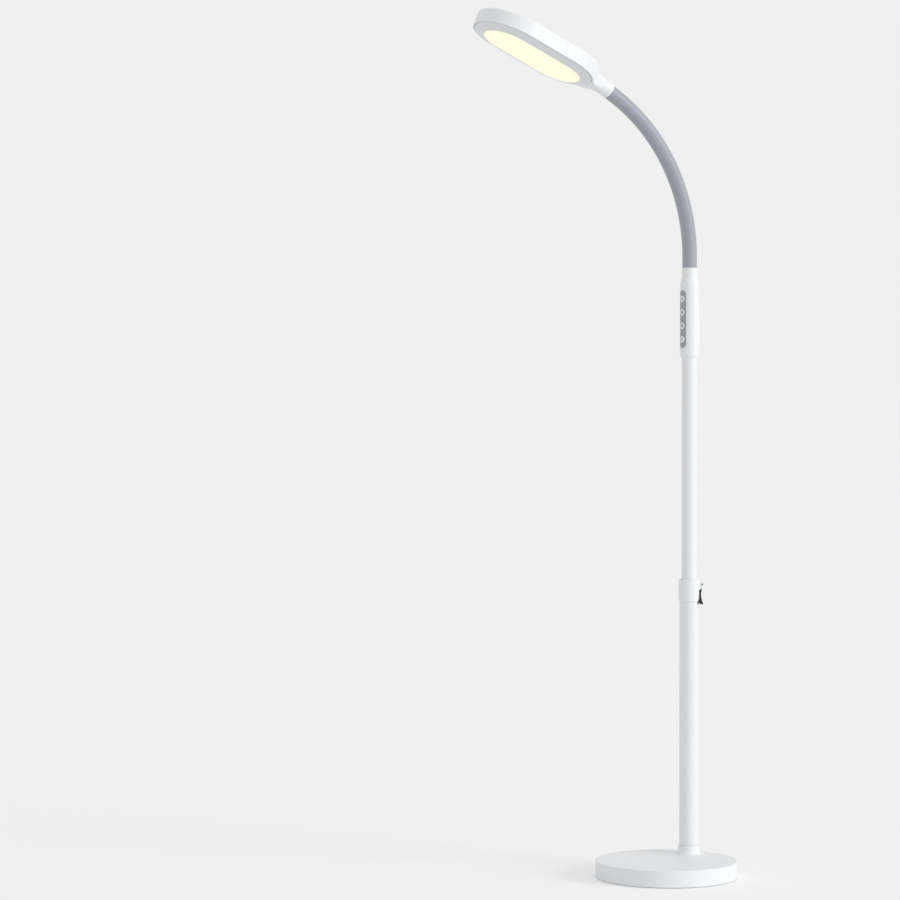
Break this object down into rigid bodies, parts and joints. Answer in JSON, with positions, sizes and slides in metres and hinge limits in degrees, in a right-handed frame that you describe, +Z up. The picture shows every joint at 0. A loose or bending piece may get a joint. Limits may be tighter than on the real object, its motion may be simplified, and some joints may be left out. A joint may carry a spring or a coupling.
{
  "type": "gooseneck reading floor lamp",
  "caption": "Floor lamp with a heavy round base, a telescopic pole with a cam clamp, a grip with push buttons, a flexible gooseneck and a flat rounded LED head.",
  "frame": {"origin": "centre of the round base's underside, on the floor", "axes": "+Z up along the pole, the gooseneck and head reach towards -Y, the pole stands behind the base's centre towards +Y and -X"},
  "size_m": [0.2186, 0.4192, 1.3267],
  "materials": {
    "pad_rubber": "ribless rubber mat, matt",
    "plate_steel": "zinc plated sheet",
    "zinc_steel": "bright zinc plate",
    "cast_weight": "raw casting",
    "white_cover": "fine satin moulding",
    "inlet_black": "moulded inlet",
    "white_tube": "smooth white powder coat",
    "white_moulding": "fine satin moulding",
    "nylon": "natural nylon",
    "spring_steel": "blued spring steel",
    "lever_black": "satin black moulding",
    "panel_grey": "satin mid grey moulding",
    "key_grey": "satin mid grey moulding with pale rings",
    "board_green": "solder mask",
    "switch_black": "moulded",
    "fitting_steel": "turned steel",
    "neck_sleeve": "satin silver grey sleeve",
    "bezel_grey": "satin light grey moulding",
    "opal_diffuser": "opal acrylic, lit",
    "clear_guide": "clear acrylic",
    "reflector_film": "white film",
    "led_strip": "white board with yellow phosphor lamps",
    "back_aluminium": "mill finish sheet"
  },
  "bodies": {
    "base": {"foot_pad": "pad_rubber", "base_plate": "plate_steel", "base_screws": "zinc_steel", "base_weight": "cast_weight", "base_cover": "white_cover", "dc_jack": "inlet_black", "pole_foot": "white_cover", "pole_bolt": "zinc_steel", "pole_nut": "zinc_steel", "lower_tube": "white_tube", "clamp_collar": "white_moulding", "collar_bush": "nylon", "clamp_pad": "nylon", "lever_pin": "zinc_steel"},
    "lever": {"clamp_lever": "lever_black"},
    "slider": {"guide_bush": "nylon"},
    "upper": {"bush_clip": "spring_steel", "tube_end_plug": "nylon", "upper_tube": "white_tube", "handle_plug": "nylon", "handle_body": "white_moulding", "control_panel": "panel_grey", "switch_board": "board_green", "push_switches": "switch_black", "panel_screws": "zinc_steel", "neck_fitting_lower": "fitting_steel", "neck_nut_lower": "fitting_steel", "gooseneck_link_00": "neck_sleeve"},
    "power_key": {"button_power": "key_grey"},
    "brighter_key": {"button_brighter": "key_grey"},
    "dimmer_key": {"button_dimmer": "key_grey"},
    "colour_key": {"button_colour": "key_grey"},
    "neck_01": {"gooseneck_link_01": "neck_sleeve"},
    "neck_02": {"gooseneck_link_02": "neck_sleeve"},
    "neck_03": {"gooseneck_link_03": "neck_sleeve"},
    "neck_04": {"gooseneck_link_04": "neck_sleeve"},
    "neck_05": {"gooseneck_link_05": "neck_sleeve"},
    "neck_06": {"gooseneck_link_06": "neck_sleeve"},
    "neck_07": {"gooseneck_link_07": "neck_sleeve"},
    "neck_08": {"gooseneck_link_08": "neck_sleeve"},
    "neck_09": {"gooseneck_link_09": "neck_sleeve"},
    "neck_10": {"gooseneck_link_10": "neck_sleeve"},
    "neck_11": {"gooseneck_link_11": "neck_sleeve"},
    "head": {"gooseneck_link_12": "neck_sleeve", "head_housing": "white_moulding", "neck_fitting_upper": "fitting_steel", "neck_nut_upper": "fitting_steel", "head_bezel": "bezel_grey", "diffuser": "opal_diffuser", "light_guide": "clear_guide", "reflector": "reflector_film", "led_strips": "led_strip", "back_plate": "back_aluminium", "head_screws": "zinc_steel"}
  },
  "joints": [
    {"name": "lever_swing", "type": "hinge", "parent": "base", "child": "lever", "pos_m": [-0.03046, 0.08458, 0.4492], "axis": [0.8788, -0.4772, 0], "range_deg": [0, 95]},
    {"name": "height_slide", "type": "slide", "parent": "base", "child": "slider", "axis": [0, 0, 1], "range_m": [-0.312, 0]},
    {"name": "pole_swivel", "type": "hinge", "parent": "slider", "child": "upper", "pos_m": [-0.04, 0.067, 0.4227], "axis": [0, 0, 1], "range_deg": [-170, 170]},
    {"name": "power_press", "type": "slide", "parent": "upper", "child": "power_key", "axis": [-0.1219, 0.9925, 0], "range_m": [0, 0.0008], "stiffness_N_per_m": 600, "springref_m": -0.001},
    {"name": "brighter_press", "type": "slide", "parent": "upper", "child": "brighter_key", "axis": [-0.1219, 0.9925, 0], "range_m": [0, 0.0008], "stiffness_N_per_m": 600, "springref_m": -0.001},
    {"name": "dimmer_press", "type": "slide", "parent": "upper", "child": "dimmer_key", "axis": [-0.1219, 0.9925, 0], "range_m": [0, 0.0008], "stiffness_N_per_m": 600, "springref_m": -0.001},
    {"name": "colour_press", "type": "slide", "parent": "upper", "child": "colour_key", "axis": [-0.1219, 0.9925, 0], "range_m": [0, 0.0008], "stiffness_N_per_m": 600, "springref_m": -0.001},
    {"name": "neck_bend_01", "type": "hinge", "parent": "upper", "child": "neck_01", "pos_m": [-0.04, 0.067, 0.97201], "axis": [1, 0, 0], "range_deg": [-9.58, 12]},
    {"name": "neck_sway_02", "type": "hinge", "parent": "neck_01", "child": "neck_02", "pos_m": [-0.04, 0.06499, 0.99594], "axis": [0, 0.9921, 0.1251], "range_deg": [-12, 12]},
    {"name": "neck_bend_03", "type": "hinge", "parent": "neck_02", "child": "neck_03", "pos_m": [-0.04, 0.061, 1.01962], "axis": [1, 0, 0], "range_deg": [-9.58, 12]},
    {"name": "neck_sway_04", "type": "hinge", "parent": "neck_03", "child": "neck_04", "pos_m": [-0.04, 0.05504, 1.04288], "axis": [0, 0.9575, 0.2885], "range_deg": [-12, 12]},
    {"name": "neck_bend_05", "type": "hinge", "parent": "neck_04", "child": "neck_05", "pos_m": [-0.04, 0.04715, 1.06556], "axis": [1, 0, 0], "range_deg": [-9.58, 12]},
    {"name": "neck_sway_06", "type": "hinge", "parent": "neck_05", "child": "neck_06", "pos_m": [-0.04, 0.0374, 1.08751], "axis": [0, 0.8961, 0.4439], "range_deg": [-12, 12]},
    {"name": "neck_bend_07", "type": "hinge", "parent": "neck_06", "child": "neck_07", "pos_m": [-0.04, 0.02585, 1.10856], "axis": [1, 0, 0], "range_deg": [-9.58, 12]},
    {"name": "neck_sway_08", "type": "hinge", "parent": "neck_07", "child": "neck_08", "pos_m": [-0.04, 0.01258, 1.12858], "axis": [0, 0.8097, 0.5869], "range_deg": [-12, 12]},
    {"name": "neck_bend_09", "type": "hinge", "parent": "neck_08", "child": "neck_09", "pos_m": [-0.04, -0.00231, 1.14741], "axis": [1, 0, 0], "range_deg": [-9.58, 12]},
    {"name": "neck_sway_10", "type": "hinge", "parent": "neck_09", "child": "neck_10", "pos_m": [-0.04, -0.01872, 1.16494], "axis": [0, 0.7007, 0.7135], "range_deg": [-12, 12]},
    {"name": "neck_bend_11", "type": "hinge", "parent": "neck_10", "child": "neck_11", "pos_m": [-0.04, -0.03655, 1.18104], "axis": [1, 0, 0], "range_deg": [-9.58, 12]},
    {"name": "neck_sway_12", "type": "hinge", "parent": "neck_11", "child": "head", "pos_m": [-0.04, -0.05565, 1.19559], "axis": [0, 0.5721, 0.8201], "range_deg": [-12, 12]}
  ],
  "couplings": [
    {"joint": "neck_bend_03", "follows": "neck_bend_01", "ratio": 1},
    {"joint": "neck_sway_04", "follows": "neck_sway_02", "ratio": 1},
    {"joint": "neck_bend_05", "follows": "neck_bend_01", "ratio": 1},
    {"joint": "neck_sway_06", "follows": "neck_sway_02", "ratio": 1},
    {"joint": "neck_bend_07", "follows": "neck_bend_01", "ratio": 1},
    {"joint": "neck_sway_08", "follows": "neck_sway_02", "ratio": 1},
    {"joint": "neck_bend_09", "follows": "neck_bend_01", "ratio": 1},
    {"joint": "neck_sway_10", "follows": "neck_sway_02", "ratio": 1},
    {"joint": "neck_bend_11", "follows": "neck_bend_01", "ratio": 1},
    {"joint": "neck_sway_12", "follows": "neck_sway_02", "ratio": 1}
  ]
}
